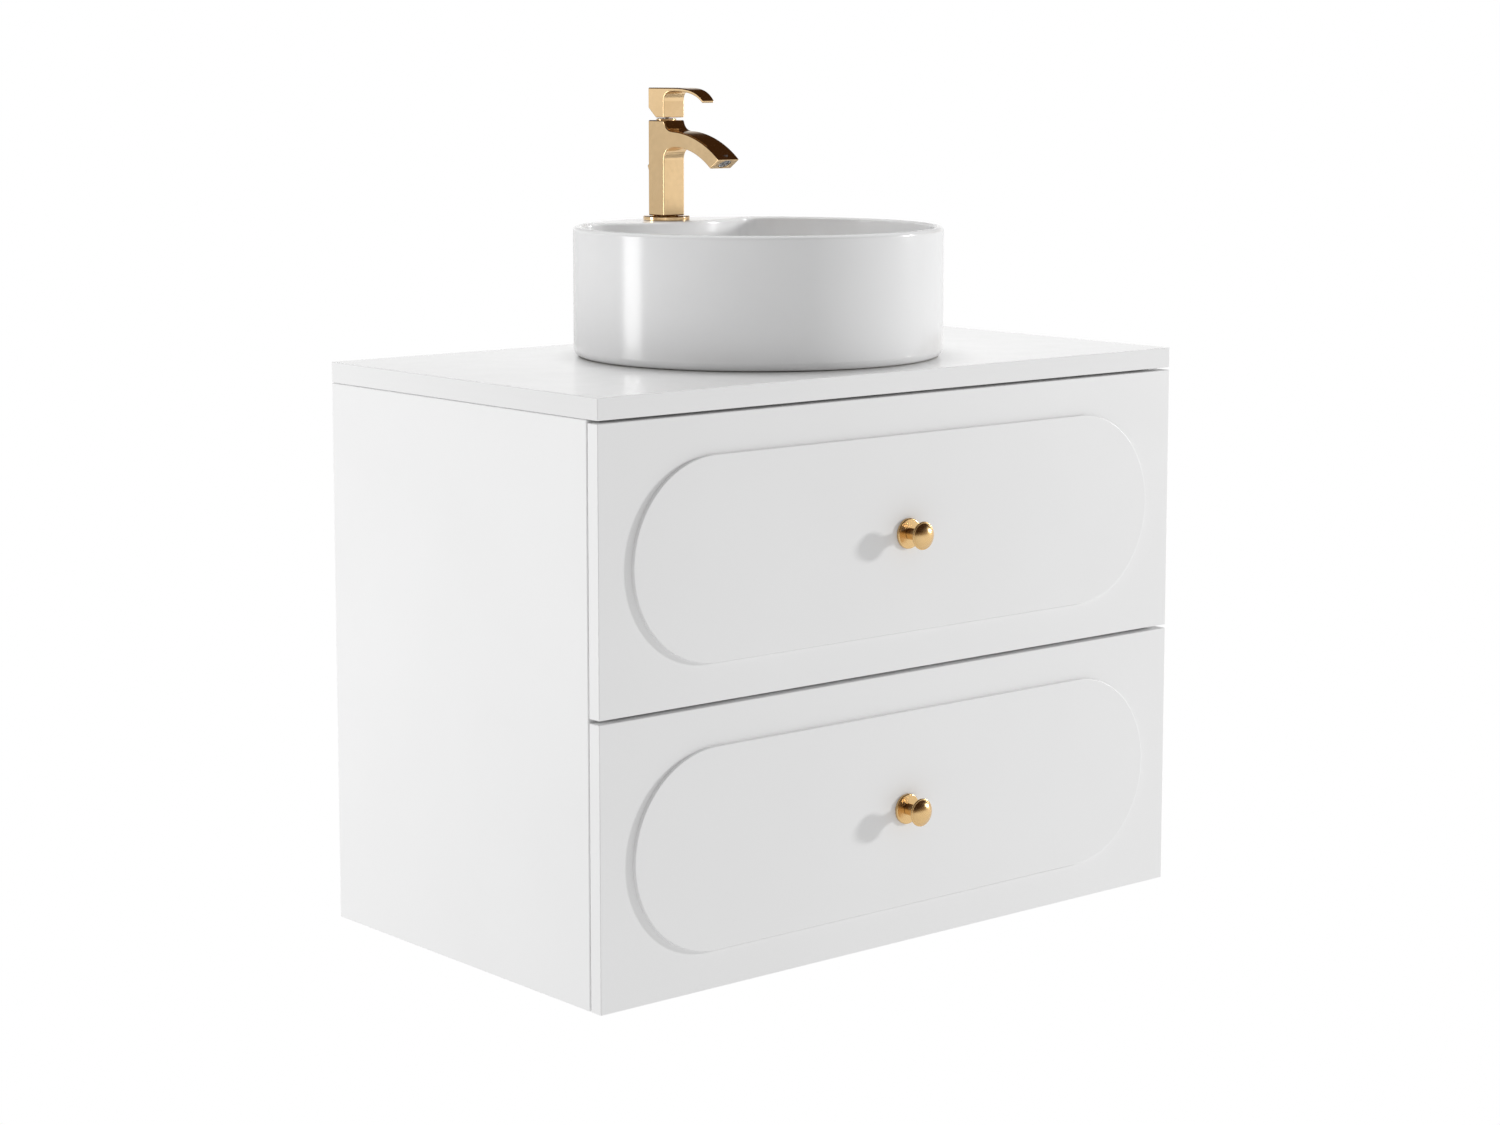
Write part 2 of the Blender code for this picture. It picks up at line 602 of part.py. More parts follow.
def runners(level, low):
    """Cabinet rail on the side panel, drawer rail on the drawer side, both channels."""
    middle = low + RUNNER_RISE
    wall = 1.6
    for side, sign in (("left", -1), ("right", 1)):
        for owner, outer, inner, half in (("cabinet", INNER_X - GAP, 374.4, 22),
                                          ("drawer", BOX_X + GAP, 380.4, 18)):
            web = outer + math.copysign(wall, inner - outer)
            channel = [(outer, -half), (outer, half), (inner, half), (inner, half - wall),
                       (web, half - wall), (web, -half + wall), (inner, -half + wall),
                       (inner, -half)]
            outline = [(sign * x, middle + h) for x, h in channel]
            prism(f"{level}_{side}_{owner}_rail", "steel", outline, BOX_BACK_Y - RAIL_LENGTH,
                  BOX_BACK_Y, "xh")


def upper_drawer():
    low, high = UPPER_BOX
    middle = drawer_front("upper", *UPPER_FRONT)
    knob("upper", middle)
    drawer_sides("upper", low, high)
    inner = BOX_X - SIDE_T - GAP
    front_y = FRONT_BACK_Y + GAP
    floor = box("upper_drawer_floor", "board", (-inner, front_y, low),
                (inner, BOX_BACK_Y, low + BOX_FLOOR_T))
    boolean(floor, box("siphon_cutout", None, (-CUTOUT_X, CUTOUT_Y, low - 5),
                       (CUTOUT_X, 0, low + 30)))
    for side, sign in (("left", -1), ("right", 1)):
        xs = sorted((sign * (CUTOUT_X + SURROUND_T + GAP), sign * inner))
        box(f"upper_drawer_{side}_back", "board",
            (xs[0], BOX_BACK_Y - SIDE_T, low + BOX_FLOOR_T + GAP), (xs[1], BOX_BACK_Y, high),
            edge=0.6)
    outer = CUTOUT_X + SURROUND_T
    surround = box("siphon_surround", "plastic", (-outer, CUTOUT_Y - SURROUND_T,
                                                  low + BOX_FLOOR_T + GAP),
                   (outer, BOX_BACK_Y, high))
    boolean(surround, box("surround_inside", None, (-CUTOUT_X, CUTOUT_Y, low),
                          (CUTOUT_X, 0, high + 10)))
    runners("upper", low)


def lower_drawer():
    low, high = LOWER_BOX
    middle = drawer_front("lower", *LOWER_FRONT)
    knob("lower", middle)
    drawer_sides("lower", low, high)
    inner = BOX_X - SIDE_T - GAP
    box("lower_drawer_floor", "board", (-inner, FRONT_BACK_Y + GAP, low),
        (inner, BOX_BACK_Y, low + BOX_FLOOR_T))
    box("lower_drawer_back", "board", (-inner, BOX_BACK_Y - SIDE_T, low + BOX_FLOOR_T + GAP),
        (inner, BOX_BACK_Y, high), edge=0.6)
    runners("lower", low)


clear_scene()
carcass()
hangers()
worktop()
basin()
tap()
tap_fixings()
waste()
popup_linkage()
trap()
upper_drawer()
lower_drawer()
bpy.context.view_layer.update()
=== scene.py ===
"""Looks of a wall-hung bathroom vanity with a round vessel basin and a single-lever tap.

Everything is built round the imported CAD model. Lengths in the functions below are millimetres,
turned into metres by MM; x runs to the right, +y into the wall and +z up.
"""
import json
import math

import bmesh
import bpy
from mathutils import Matrix, Vector

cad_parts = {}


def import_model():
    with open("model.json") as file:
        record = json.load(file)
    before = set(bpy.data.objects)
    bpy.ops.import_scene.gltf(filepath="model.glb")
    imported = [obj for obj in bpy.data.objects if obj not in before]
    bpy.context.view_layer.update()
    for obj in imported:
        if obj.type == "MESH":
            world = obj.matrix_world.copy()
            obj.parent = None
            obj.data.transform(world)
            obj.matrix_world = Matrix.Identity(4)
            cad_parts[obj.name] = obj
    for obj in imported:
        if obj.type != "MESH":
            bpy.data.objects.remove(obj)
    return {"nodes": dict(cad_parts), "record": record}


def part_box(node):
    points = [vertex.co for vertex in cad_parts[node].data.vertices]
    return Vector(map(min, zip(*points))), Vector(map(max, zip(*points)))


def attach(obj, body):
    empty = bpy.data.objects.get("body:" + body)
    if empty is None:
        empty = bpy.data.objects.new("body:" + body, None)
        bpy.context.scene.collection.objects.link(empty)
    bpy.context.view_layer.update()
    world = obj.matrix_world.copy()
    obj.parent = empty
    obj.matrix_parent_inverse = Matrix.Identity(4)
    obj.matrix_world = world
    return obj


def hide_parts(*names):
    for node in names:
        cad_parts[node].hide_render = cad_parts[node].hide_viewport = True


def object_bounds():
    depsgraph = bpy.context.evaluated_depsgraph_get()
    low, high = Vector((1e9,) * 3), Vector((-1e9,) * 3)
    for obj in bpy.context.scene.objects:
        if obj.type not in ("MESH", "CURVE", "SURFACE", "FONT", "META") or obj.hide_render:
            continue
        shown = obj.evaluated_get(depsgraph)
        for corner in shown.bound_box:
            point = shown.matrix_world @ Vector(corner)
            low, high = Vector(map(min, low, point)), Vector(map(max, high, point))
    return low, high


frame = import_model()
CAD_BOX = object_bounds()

MM = 0.001
GAP = 0.3                      # clearance between pieces that touch
UP = Vector((0, 0, 1))
FORWARD = Vector((0, -1, 0))


# --- Places, read from the frame -----------------------------------------------------------

def low(node):
    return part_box(node)[0] / MM


def high(node):
    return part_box(node)[1] / MM


BASIN_R = (high("basin").x - low("basin").x) / 2
BASIN_Y = (high("basin").y + low("basin").y) / 2
BASE_Z = low("basin").z
BASIN_H = high("basin").z - BASE_Z
RIM_Z = high("basin").z
TAP_Y = (high("tap_base_plate").y + low("tap_base_plate").y) / 2
TAP_REAR = high("tap_body").y
COLUMN = high("tap_body").x - low("tap_body").x
ROD_Y = (high("popup_pull_rod").y + low("popup_pull_rod").y) / 2


# --- Materials -----------------------------------------------------------------------------

def surface(name, roughness, metallic=0.0, specular=0.5):
    mat = bpy.data.materials.new(name)
    mat.use_nodes = True
    shader = mat.node_tree.nodes["Principled BSDF"]
    shader.inputs["Roughness"].default_value = roughness
    shader.inputs["Metallic"].default_value = metallic
    shader.inputs["Specular IOR Level"].default_value = specular
    return mat


def noise(mat, waves, detail=2.0, stretch=(1, 1, 1)):
    """Noise in the piece's own coordinates, with about that many waves to the metre."""
    nodes, links = mat.node_tree.nodes, mat.node_tree.links
    place = nodes.new("ShaderNodeTexCoord")
    scale = nodes.new("ShaderNodeMapping")
    scale.inputs["Scale"].default_value = stretch
    texture = nodes.new("ShaderNodeTexNoise")
    texture.inputs["Scale"].default_value = waves
    texture.inputs["Detail"].default_value = detail
    links.new(place.outputs["Object"], scale.inputs["Vector"])
    links.new(scale.outputs["Vector"], texture.inputs["Vector"])
    return texture.outputs["Fac"]


def tint(mat, pattern, first, second, spread=0.2):
    """Colour between two tones, by a pattern from 0 to 1."""
    nodes, links = mat.node_tree.nodes, mat.node_tree.links
    ramp = nodes.new("ShaderNodeValToRGB")
    ramp.color_ramp.elements[0].position = 0.5 - spread
    ramp.color_ramp.elements[0].color = (*first, 1)
    ramp.color_ramp.elements[1].position = 0.5 + spread
    ramp.color_ramp.elements[1].color = (*second, 1)
    links.new(pattern, ramp.inputs["Fac"])
    links.new(ramp.outputs["Color"], nodes["Principled BSDF"].inputs["Base Color"])
    return ramp


def blur(mat, pattern, smooth, rough):
    """Roughness between two values, by a pattern."""
    nodes, links = mat.node_tree.nodes, mat.node_tree.links
    spread = nodes.new("ShaderNodeMapRange")
    spread.inputs["From Min"].default_value = 0.3
    spread.inputs["From Max"].default_value = 0.7
    spread.inputs["To Min"].default_value = smooth
    spread.inputs["To Max"].default_value = rough
    links.new(pattern, spread.inputs["Value"])
    links.new(spread.outputs["Result"], nodes["Principled BSDF"].inputs["Roughness"])


def relief(mat, pattern, depth):
    """Bump of that depth in millimetres, on top of any earlier one."""
    nodes, links = mat.node_tree.nodes, mat.node_tree.links
    bump = nodes.new("ShaderNodeBump")
    bump.inputs["Distance"].default_value = depth * MM
    normal = nodes["Principled BSDF"].inputs["Normal"]
    if normal.is_linked:
        links.new(normal.links[0].from_socket, bump.inputs["Normal"])
    links.new(pattern, bump.inputs["Height"])
    links.new(bump.outputs["Normal"], normal)


def white_lacquer():
    mat = surface("white_lacquer", 0.36, specular=0.42)
    tint(mat, noise(mat, 5, 3), (0.868, 0.868, 0.868), (0.884, 0.885, 0.886))
    blur(mat, noise(mat, 14, 4), 0.33, 0.40)
    relief(mat, noise(mat, 420, 2), 0.010)
    relief(mat, noise(mat, 60, 1), 0.012)
    return mat


def white_board():
    """Melamine-faced board with a fine pearl texture."""
    mat = surface("white_board", 0.5, specular=0.4)
    tint(mat, noise(mat, 7, 4), (0.842, 0.842, 0.838), (0.868, 0.868, 0.864))
    blur(mat, noise(mat, 30, 3), 0.44, 0.56)
    relief(mat, noise(mat, 1300, 3), 0.018)
    return mat


def worktop_gloss():
    mat = surface("worktop_gloss", 0.1, specular=0.5)
    tint(mat, noise(mat, 4, 3), (0.874, 0.874, 0.874), (0.886, 0.886, 0.886))
    blur(mat, noise(mat, 25, 4), 0.07, 0.12)
    relief(mat, noise(mat, 130, 1), 0.004)
    return mat


def glazed_ceramic():
    """White glaze that pools in slow waves, and bare clay on the foot's lowest edge."""
    mat = surface("glazed_ceramic", 0.16, specular=0.5)
    nodes, links = mat.node_tree.nodes, mat.node_tree.links
    ramp = tint(mat, noise(mat, 9, 3), (0.820, 0.822, 0.826), (0.842, 0.843, 0.845))
    place = nodes.new("ShaderNodeTexCoord")
    split = nodes.new("ShaderNodeSeparateXYZ")
    foot = nodes.new("ShaderNodeMapRange")
    foot.inputs["From Min"].default_value = (BASE_Z + 0.5) * MM
    foot.inputs["From Max"].default_value = (BASE_Z + 1.1) * MM
    clay = nodes.new("ShaderNodeMix")
    clay.data_type = "RGBA"
    clay.inputs["A"].default_value = (0.74, 0.72, 0.68, 1)
    gloss = nodes.new("ShaderNodeMapRange")
    gloss.inputs["To Min"].default_value = 0.7
    gloss.inputs["To Max"].default_value = 0.16
    shader = nodes["Principled BSDF"]
    links.new(place.outputs["Object"], split.inputs["Vector"])
    links.new(split.outputs["Z"], foot.inputs["Value"])
    links.new(foot.outputs["Result"], clay.inputs["Factor"])
    links.new(ramp.outputs["Color"], clay.inputs["B"])
    links.new(clay.outputs["Result"], shader.inputs["Base Color"])
    links.new(foot.outputs["Result"], gloss.inputs["Value"])
    links.new(gloss.outputs["Result"], shader.inputs["Roughness"])
    relief(mat, noise(mat, 11, 1), 0.09)
    relief(mat, noise(mat, 260, 1), 0.0015)
    return mat


def polished_gold():
    mat = surface("polished_gold", 0.14, 1.0)
    tint(mat, noise(mat, 30, 3), (0.845, 0.600, 0.330), (0.870, 0.628, 0.356))
    blur(mat, noise(mat, 160, 4), 0.11, 0.17)
    relief(mat, noise(mat, 900, 3, (1, 1, 0.08)), 0.0008)
    relief(mat, noise(mat, 45, 1), 0.008)
    return mat


def satin_gold():
    mat = surface("satin_gold", 0.26, 1.0)
    tint(mat, noise(mat, 60, 3), (0.740, 0.500, 0.235), (0.780, 0.535, 0.262))
    blur(mat, noise(mat, 300, 4), 0.22, 0.31)
    relief(mat, noise(mat, 1500, 3), 0.0016)
    return mat


def zinc_steel():
    """Zinc plating: faint cloudy patches over rolling marks that run front to back."""
    mat = surface("zinc_steel", 0.32, 1.0)
    tint(mat, noise(mat, 70, 5), (0.560, 0.570, 0.585), (0.675, 0.680, 0.680))
    blur(mat, noise(mat, 200, 4, (1, 0.06, 1)), 0.25, 0.42)
    relief(mat, noise(mat, 1400, 3, (1, 0.03, 1)), 0.003)
    return mat


def raw_brass():
    mat = surface("raw_brass", 0.34, 1.0)
    tint(mat, noise(mat, 55, 5), (0.600, 0.440, 0.200), (0.740, 0.575, 0.300))
    blur(mat, noise(mat, 240, 4), 0.26, 0.44)
    relief(mat, noise(mat, 1100, 3), 0.004)
    return mat


def white_plastic():
    mat = surface("white_plastic", 0.38)
    tint(mat, noise(mat, 16, 3), (0.800, 0.803, 0.800), (0.835, 0.838, 0.836))
    blur(mat, noise(mat, 90, 4), 0.32, 0.45)
    relief(mat, noise(mat, 2200, 2), 0.006)
    return mat


LOOKS = {make.__name__: make() for make in (white_lacquer, white_board, worktop_gloss,
                                            glazed_ceramic, polished_gold, satin_gold,
                                            zinc_steel, raw_brass, white_plastic)}


# --- Mesh helpers --------------------------------------------------------------------------

def arc(center, radius, start, end, count):
    """Points on a circle from start to end, in degrees, both included."""
    points = []
    for i in range(count):
        angle = math.radians(start + (end - start) * i / (count - 1))
        points.append((center[0] + radius * math.cos(angle),
                       center[1] + radius * math.sin(angle)))
    return points


def bezier(p0, p1, p2, p3, count):
    points = []
    for i in range(count):
        t = i / (count - 1)
        s = 1 - t
        weights = (s ** 3, 3 * s * s * t, 3 * s * t * t, t ** 3)
        points.append(tuple(sum(w * p[k] for w, p in zip(weights, (p0, p1, p2, p3)))
                            for k in (0, 1)))
    return points


def soften(points, steps=5):
    """Round the corners of an outline: a point's third number is its corner's radius."""
    result = []
    for i, point in enumerate(points):
        here = Vector(point[:2])
        if len(point) == 2:
            result.append(tuple(here))
            continue
        radius = point[2]
        before = (Vector(points[i - 1][:2]) - here).normalized()
        after = (Vector(points[(i + 1) % len(points)][:2]) - here).normalized()
        half = before.angle(after) / 2
        center = here + (before + after).normalized() * radius / math.sin(half)
        reach = radius / math.tan(half)
        first = here + before * reach - center
        last = here + after * reach - center
        turn = math.atan2(first.x * last.y - first.y * last.x, first.dot(last))
        start = math.degrees(math.atan2(first.y, first.x))
        result += arc(center, radius, start, start + math.degrees(turn), steps)
    return result


def loft(loops, closed=False):
    """Skin between loops of equally many points. A loop of one point closes that end."""
    shape = bmesh.new()
    rows = [[shape.verts.new(Vector(p) * MM) for p in loop] for loop in loops]
    pairs = list(zip(rows, rows[1:]))
    if closed:
        pairs.append((rows[-1], rows[0]))
    for a, b in pairs:
        count = max(len(a), len(b))
        for i in range(count):
            j = (i + 1) % count
            corners = [a[i % len(a)], a[j % len(a)], b[j % len(b)], b[i % len(b)]]
            shape.faces.new(list(dict.fromkeys(corners)))
    if not closed:
        for row in (rows[0], rows[-1]):
            if len(row) > 1:
                shape.faces.new(row)
    bmesh.ops.recalc_face_normals(shape, faces=shape.faces)
    return shape


def revolve(profile, steps=96):
    """Solid of revolution about Z. A profile that starts off the axis is a closed ring."""
    loops = []
    for radius, height in profile:
        if radius == 0:
            loops.append([(0, 0, height)])
        else:
            loops.append([(x, y, height) for x, y in arc((0, 0), radius, 0, 360, steps + 1)[:-1]])
    return loft(loops, closed=profile[0][0] > 0)


def rod(radius, start, end, steps=96):
    return revolve([(0, start), (radius, start), (radius, end), (0, end)], steps)


def extrude(outline, start, end, along="x"):
    """Prism: the outline is (y, z) when it runs along x, (x, z) along y, (x, y) along z."""
    def spot(a, b, c):
        return {"x": (c, a, b), "y": (a, c, b), "z": (a, b, c)}[along]

    return loft([[spot(a, b, c) for a, b in outline] for c in (start, end)])


def block(a, b):
    return extrude([(a[0], a[1]), (b[0], a[1]), (b[0], b[1]), (a[0], b[1])], a[2], b[2], "z")


def move(shape, place, axis=UP):
    """Turn the Z of a shape or mesh to axis and put its origin at place."""
    turn = UP.rotation_difference(Vector(axis)).to_matrix().to_4x4()
    shape.transform(Matrix.Translation(Vector(place) * MM) @ turn)
    return shape


def to_object(name, shape):
    mesh = bpy.data.meshes.new(name)
    shape.to_mesh(mesh)
    shape.free()
    obj = bpy.data.objects.new(name, mesh)
    bpy.context.scene.collection.objects.link(obj)
    return obj


def bevel(obj, width, segments=4, angle=35):
    step = obj.modifiers.new("rounded", "BEVEL")
    step.width = width * MM
    step.segments = segments
    step.limit_method = "ANGLE"
    step.angle_limit = math.radians(angle)
    return obj


def combine(obj, shape, operation="DIFFERENCE"):
    """Cut the shape away from obj, or join it on."""
    tool = to_object("tool", shape)
    step = obj.modifiers.new("cut", "BOOLEAN")
    step.object = tool
    step.operation = operation
    step.solver = "EXACT"
    bake(obj)
    bpy.data.objects.remove(tool)
    return obj


def bake(obj):
    """Replace the object's mesh by what its modifiers make."""
    bpy.context.view_layer.update()
    graph = bpy.context.evaluated_depsgraph_get()
    made = bpy.data.meshes.new_from_object(obj.evaluated_get(graph))
    obj.modifiers.clear()
    obj.data = made
    return obj


def show(obj, look, body, *replaced, smooth=35):
    """Give a finished piece its look and body, and hide the CAD nodes it stands for."""
    bake(obj)
    obj.data.materials.clear()
    obj.data.materials.append(LOOKS[look])
    obj.data.shade_smooth()
    obj.data.set_sharp_from_angle(angle=math.radians(smooth))
    flats = obj.modifiers.new("flat_faces", "WEIGHTED_NORMAL")
    flats.keep_sharp = True
    flats.weight = 80
    bake(obj)
    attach(obj, body)
    if replaced:
        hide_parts(*replaced)
    return obj


def piece(name, shape, look, body, *replaced, smooth=35):
    return show(to_object(name, shape), look, body, *replaced, smooth=smooth)


# --- Basin ---------------------------------------------------------------------------------

DECK_ARC_R = 190.0             # front edge of the tap deck, in plan
DECK_ARC_Y = 307.0             # that arc's centre, behind the basin's axis
RIM_T = 9.0                    # thickness of the wall at the rim
BOWL_CORNER_R = 36.0
BOWL_FILLET = 28.0
BOWL_FLOOR = 22.0              # above the basin's foot
SUMP = 14.0                    # edge of the waste's recess, above the foot
SUMP_R = 36.0
SUMP_LEDGE = 3.0               # depth of the ledge the waste sits on
WASTE_HOLE_R = 22.5
DECK_T = 12.0
DECK_FRONT_T = 11.0            # wall between the bowl and the hollow under the deck
SHELL_T = 10.0
TAP_HOLE_R = 17.5
ROD_SLOT_R = 3.6


def bowl_outline(inset):
    """Plan of the bowl about the basin's axis; a larger inset gives a smaller, parallel plan."""
    wall, deck, corner = BASIN_R - RIM_T - inset, DECK_ARC_R + inset, BOWL_CORNER_R - inset
    to_axis = BASIN_R - RIM_T - BOWL_CORNER_R
    to_deck = DECK_ARC_R + BOWL_CORNER_R
    cy = (to_axis ** 2 - to_deck ** 2 + DECK_ARC_Y ** 2) / (2 * DECK_ARC_Y)
    cx = math.sqrt(to_axis ** 2 - cy ** 2)
    wall_angle = math.degrees(math.atan2(cy, cx))
    deck_angle = math.degrees(math.atan2(cy - DECK_ARC_Y, cx))
    right = arc((cx, cy), corner, wall_angle, deck_angle + 180, 25)
    front = arc((0, DECK_ARC_Y), deck, deck_angle, -180 - deck_angle, 49)
    left = [(-x, y) for x, y in reversed(right)]
    around = arc((0, 0), wall, 180 - wall_angle, 360 + wall_angle, 161)
    return right + front[1:-1] + left + around[1:-1]


def basin():
    draft = 3.0
    directions = [Vector(p).normalized() for p in bowl_outline(0)]

    def circle(radius, height):
        return [(d.x * radius, d.y * radius, height) for d in directions]

    def plan(inset, height):
        return [(x, y, height) for x, y in bowl_outline(inset)]

    loops = [circle(r, h) for r, h in arc((BASIN_R - 9, 9), 9, -90, 0, 9)]
    loops += [circle(BASIN_R, h) for h in (30, 60, 90, 115)]
    loops += [circle(r, h) for r, h in arc((BASIN_R - 4, BASIN_H - 4), 4, 0, 90, 8)]
    for step in range(8):
        angle = math.radians(90 - 90 * step / 7)
        loops.append(plan(-3 * (1 - math.cos(angle)), BASIN_H - 3 * (1 - math.sin(angle))))
    wall_foot = BOWL_FLOOR + BOWL_FILLET
    for step in range(1, 5):
        share = step / 5
        loops.append(plan(draft * share, BASIN_H - 3 - (BASIN_H - 3 - wall_foot) * share))
    for step in range(12):
        angle = math.radians(90 * step / 11)
        loops.append(plan(draft + BOWL_FILLET * (1 - math.cos(angle)),
                          wall_foot - BOWL_FILLET * math.sin(angle)))
    edge = bowl_outline(draft + BOWL_FILLET)
    for step in range(1, 8):
        share = step / 8
        blend = share * share * (3 - 2 * share)
        loops.append([((1 - share) * x + share * SUMP_R * d.x,
                       (1 - share) * y + share * SUMP_R * d.y,
                       BOWL_FLOOR + (SUMP + 0.4 - BOWL_FLOOR) * blend)
                      for (x, y), d in zip(edge, directions)])
    ledge = SUMP - SUMP_LEDGE
    lip = soften([(SUMP_R, SUMP + 0.3), (33, SUMP, 1.2), (32.5, ledge, 0.6),
                  (WASTE_HOLE_R, ledge, 0.8), (WASTE_HOLE_R, 0)], 5)
    loops += [circle(r, h) for r, h in lip]
    obj = to_object("vessel_basin", move(loft(loops, closed=True), (0, BASIN_Y, BASE_Z)))

    reach, inner = DECK_ARC_R - DECK_FRONT_T, BASIN_R - SHELL_T
    rear = (inner ** 2 - reach ** 2 + DECK_ARC_Y ** 2) / (2 * DECK_ARC_Y)
    side = math.sqrt(inner ** 2 - rear ** 2)
    front_from = math.degrees(math.atan2(rear - DECK_ARC_Y, side))
    hollow = arc((0, DECK_ARC_Y), reach, -180 - front_from, front_from, 41)
    wall_from = math.degrees(math.atan2(rear, side))
    hollow += arc((0, 0), inner, wall_from, 180 - wall_from, 41)[1:-1]
    under_deck = extrude(hollow, -5, BASIN_H - DECK_T, "z")
    combine(obj, move(under_deck, (0, BASIN_Y, BASE_Z)))
    mouth = math.degrees(math.asin(ROD_SLOT_R / TAP_HOLE_R))
    keyhole = (arc((0, TAP_Y), TAP_HOLE_R, 90 + mouth, 450 - mouth, 49)
               + arc((0, ROD_Y), ROD_SLOT_R, 0, 180, 17))
    combine(obj, extrude(keyhole, RIM_Z - 20, RIM_Z + 10, "z"))
    show(obj, "glazed_ceramic", "cabinet", "basin", smooth=30)


# --- Tap -----------------------------------------------------------------------------------

def side_view(points):
    """Tap outlines are (distance from the rear face, height above the tap deck)."""
    return [(TAP_REAR - p[0], RIM_Z + p[1], *p[2:]) for p in points]


def taper(obj, start, end, tip_half):
    """Bring a casting's half width evenly to tip_half between two distances from the rear."""
    for vertex in obj.data.vertices:
        along = TAP_REAR - vertex.co.y / MM
        share = min(max((along - start) / (end - start), 0.0), 1.0)
        half = COLUMN / 2 + (tip_half - COLUMN / 2) * share
        vertex.co.x = math.copysign(half * MM, vertex.co.x)


def casting(name, outline, taper_from, taper_to, tip_half, edge):
    obj = to_object(name, extrude(side_view(outline), -COLUMN / 2, COLUMN / 2))
    taper(obj, taper_from, taper_to, tip_half)
    bevel(obj, edge, 5, 28)
    return bake(obj)


SPOUT_TOP = (bezier((28, 111), (30, 103.2), (34.5, 99.8), (43, 99.3), 17)
             + bezier((43, 99.3), (72, 98.3), (101, 87.8), (123.6, 69.6), 33)[1:])
SPOUT_UNDER = (bezier((108.3, 59.4), (90, 74), (68, 81.8), (47, 81.6), 25)
               + bezier((47, 81.6), (37, 81.6), (28, 78), (28, 67), 19)[1:])
LEVER_TOP = [(0, 124.6), (0, 147)] + bezier((42, 147), (65, 147), (78, 144), (88.6, 133.2), 25)
LEVER_UNDER = (bezier((87, 130.3), (77, 140.3), (63, 143.2), (42, 143.2), 21)
               + bezier((42, 143.2), (33, 143.2), (28, 140), (28, 132), 17)[1:]
               + [(28, 114), (13, 114)])
END_SLOPE = math.atan2(15.3, 10.2)     # the spout's end face looks down by this much


def tap():
    deck = (0, TAP_Y, RIM_Z)
    plate = soften([(26, 0.3, 0.2), (26, 4.8, 1.1), (13, 4.8, 0.2), (13, 0.3, 0.2)], 6)
    rosette = to_object("tap_rosette", move(revolve(plate, 128), deck))
    rod_hole = rod(2.4, 0, 12, 32)
    combine(rosette, move(rod_hole, (0, ROD_Y, RIM_Z - 2)))
    show(rosette, "polished_gold", "cabinet", "tap_base_plate", smooth=50)

    outline = [(0, 5.1), (0, 111)] + SPOUT_TOP + SPOUT_UNDER + [(28, 5.1)]
    body = casting("tap_casting", outline, 45, 123.6, 14.6, 1.5)
    combine(body, move(rod(10.8, 0, 50), (0, TAP_Y, RIM_Z + 68)))
    outward = Vector((0, -math.cos(END_SLOPE), -math.sin(END_SLOPE)))
    mouth = Vector((0, *side_view([(115.95, 64.5)])[0]))
    pocket = revolve([(0, 0), (7.7, 0), (7.7, 7.6), (8.2, 8.1), (8.2, 14), (0, 14)], 64)
    combine(body, move(pocket, mouth - outward * 8, outward))
    for node, radius in (("cold_inlet", 5.1), ("hot_inlet", 5.1), ("tap_stud", 3.3)):
        middle = (low(node) + high(node)) / 2
        port = rod(radius, 0, 20, 32)
        combine(body, move(port, (middle.x, middle.y, RIM_Z)))
    show(body, "polished_gold", "cabinet", "tap_body", smooth=28)
    aerator(mouth - outward * 7.7, outward)

    ring = soften([(11.4, 8.6, 0.2), (11.4, 9.4, 0.2), (9.6, 10.2, 0.2), (8.2, 10.2, 0.2),
                   (8.2, 0, 0.2), (10.4, 0, 0.2), (10.4, 8.6)], 4)
    piece("tap_collar", move(revolve(ring), (0, TAP_Y, RIM_Z + 102.8)), "polished_gold",
          "cabinet", "tap_neck_ring")

    lever = casting("tap_handle", LEVER_TOP + LEVER_UNDER, 28, 88.6, 7.9, 1.3)
    combine(lever, move(rod(3.3, 0, 18, 32), (0, TAP_Y, RIM_Z + 112)))
    show(lever, "polished_gold", "lever", "tap_lever", smooth=28)


def aerator(base, axis):
    """Threaded insert with coin slots round its rim and a honeycomb of jets inside."""
    body = soften([(0, 4.2), (5.6, 4.2, 0.3), (5.6, 6.8, 0.2), (7.2, 6.8, 0.4), (7.2, 0), (0, 0)],
                  4)
    obj = to_object("aerator_insert", revolve(body, 64))
    jets = [(0.0, 0.0)]
    for ring, count in ((1.45, 6), (2.9, 12), (4.3, 18)):
        jets += arc((0, 0), ring, 0, 360, count + 1)[:-1]
    holes = bmesh.new()
    for x, y in jets:
        hole = rod(0.52, 3.4, 5.4, 6)
        hole.transform(Matrix.Translation((x * MM, y * MM, 0)))
        mesh = bpy.data.meshes.new("jet")
        hole.to_mesh(mesh)
        hole.free()
        holes.from_mesh(mesh)
        bpy.data.meshes.remove(mesh)
    combine(obj, holes)
    for turn in range(3):
        notch = block((-9, -0.6, 5.9), (9, 0.6, 9))
        notch.transform(Matrix.Rotation(math.radians(60 * turn), 4, "Z"))
        combine(obj, notch)
    move(obj.data, base, axis)
    show(obj, "zinc_steel", "cabinet", "tap_aerator")


# --- Pop-up waste --------------------------------------------------------------------------

def thread(radius, start, end, pitch, depth=0.35):
    """Profile of a threaded stretch, as ridges from start down to end."""
    points = []
    count = int(abs(start - end) / pitch)
    for i in range(count):
        top = start - i * pitch
        points += [(radius - depth, top), (radius, top - pitch * 0.5)]
    return points + [(radius - depth, start - count * pitch)]


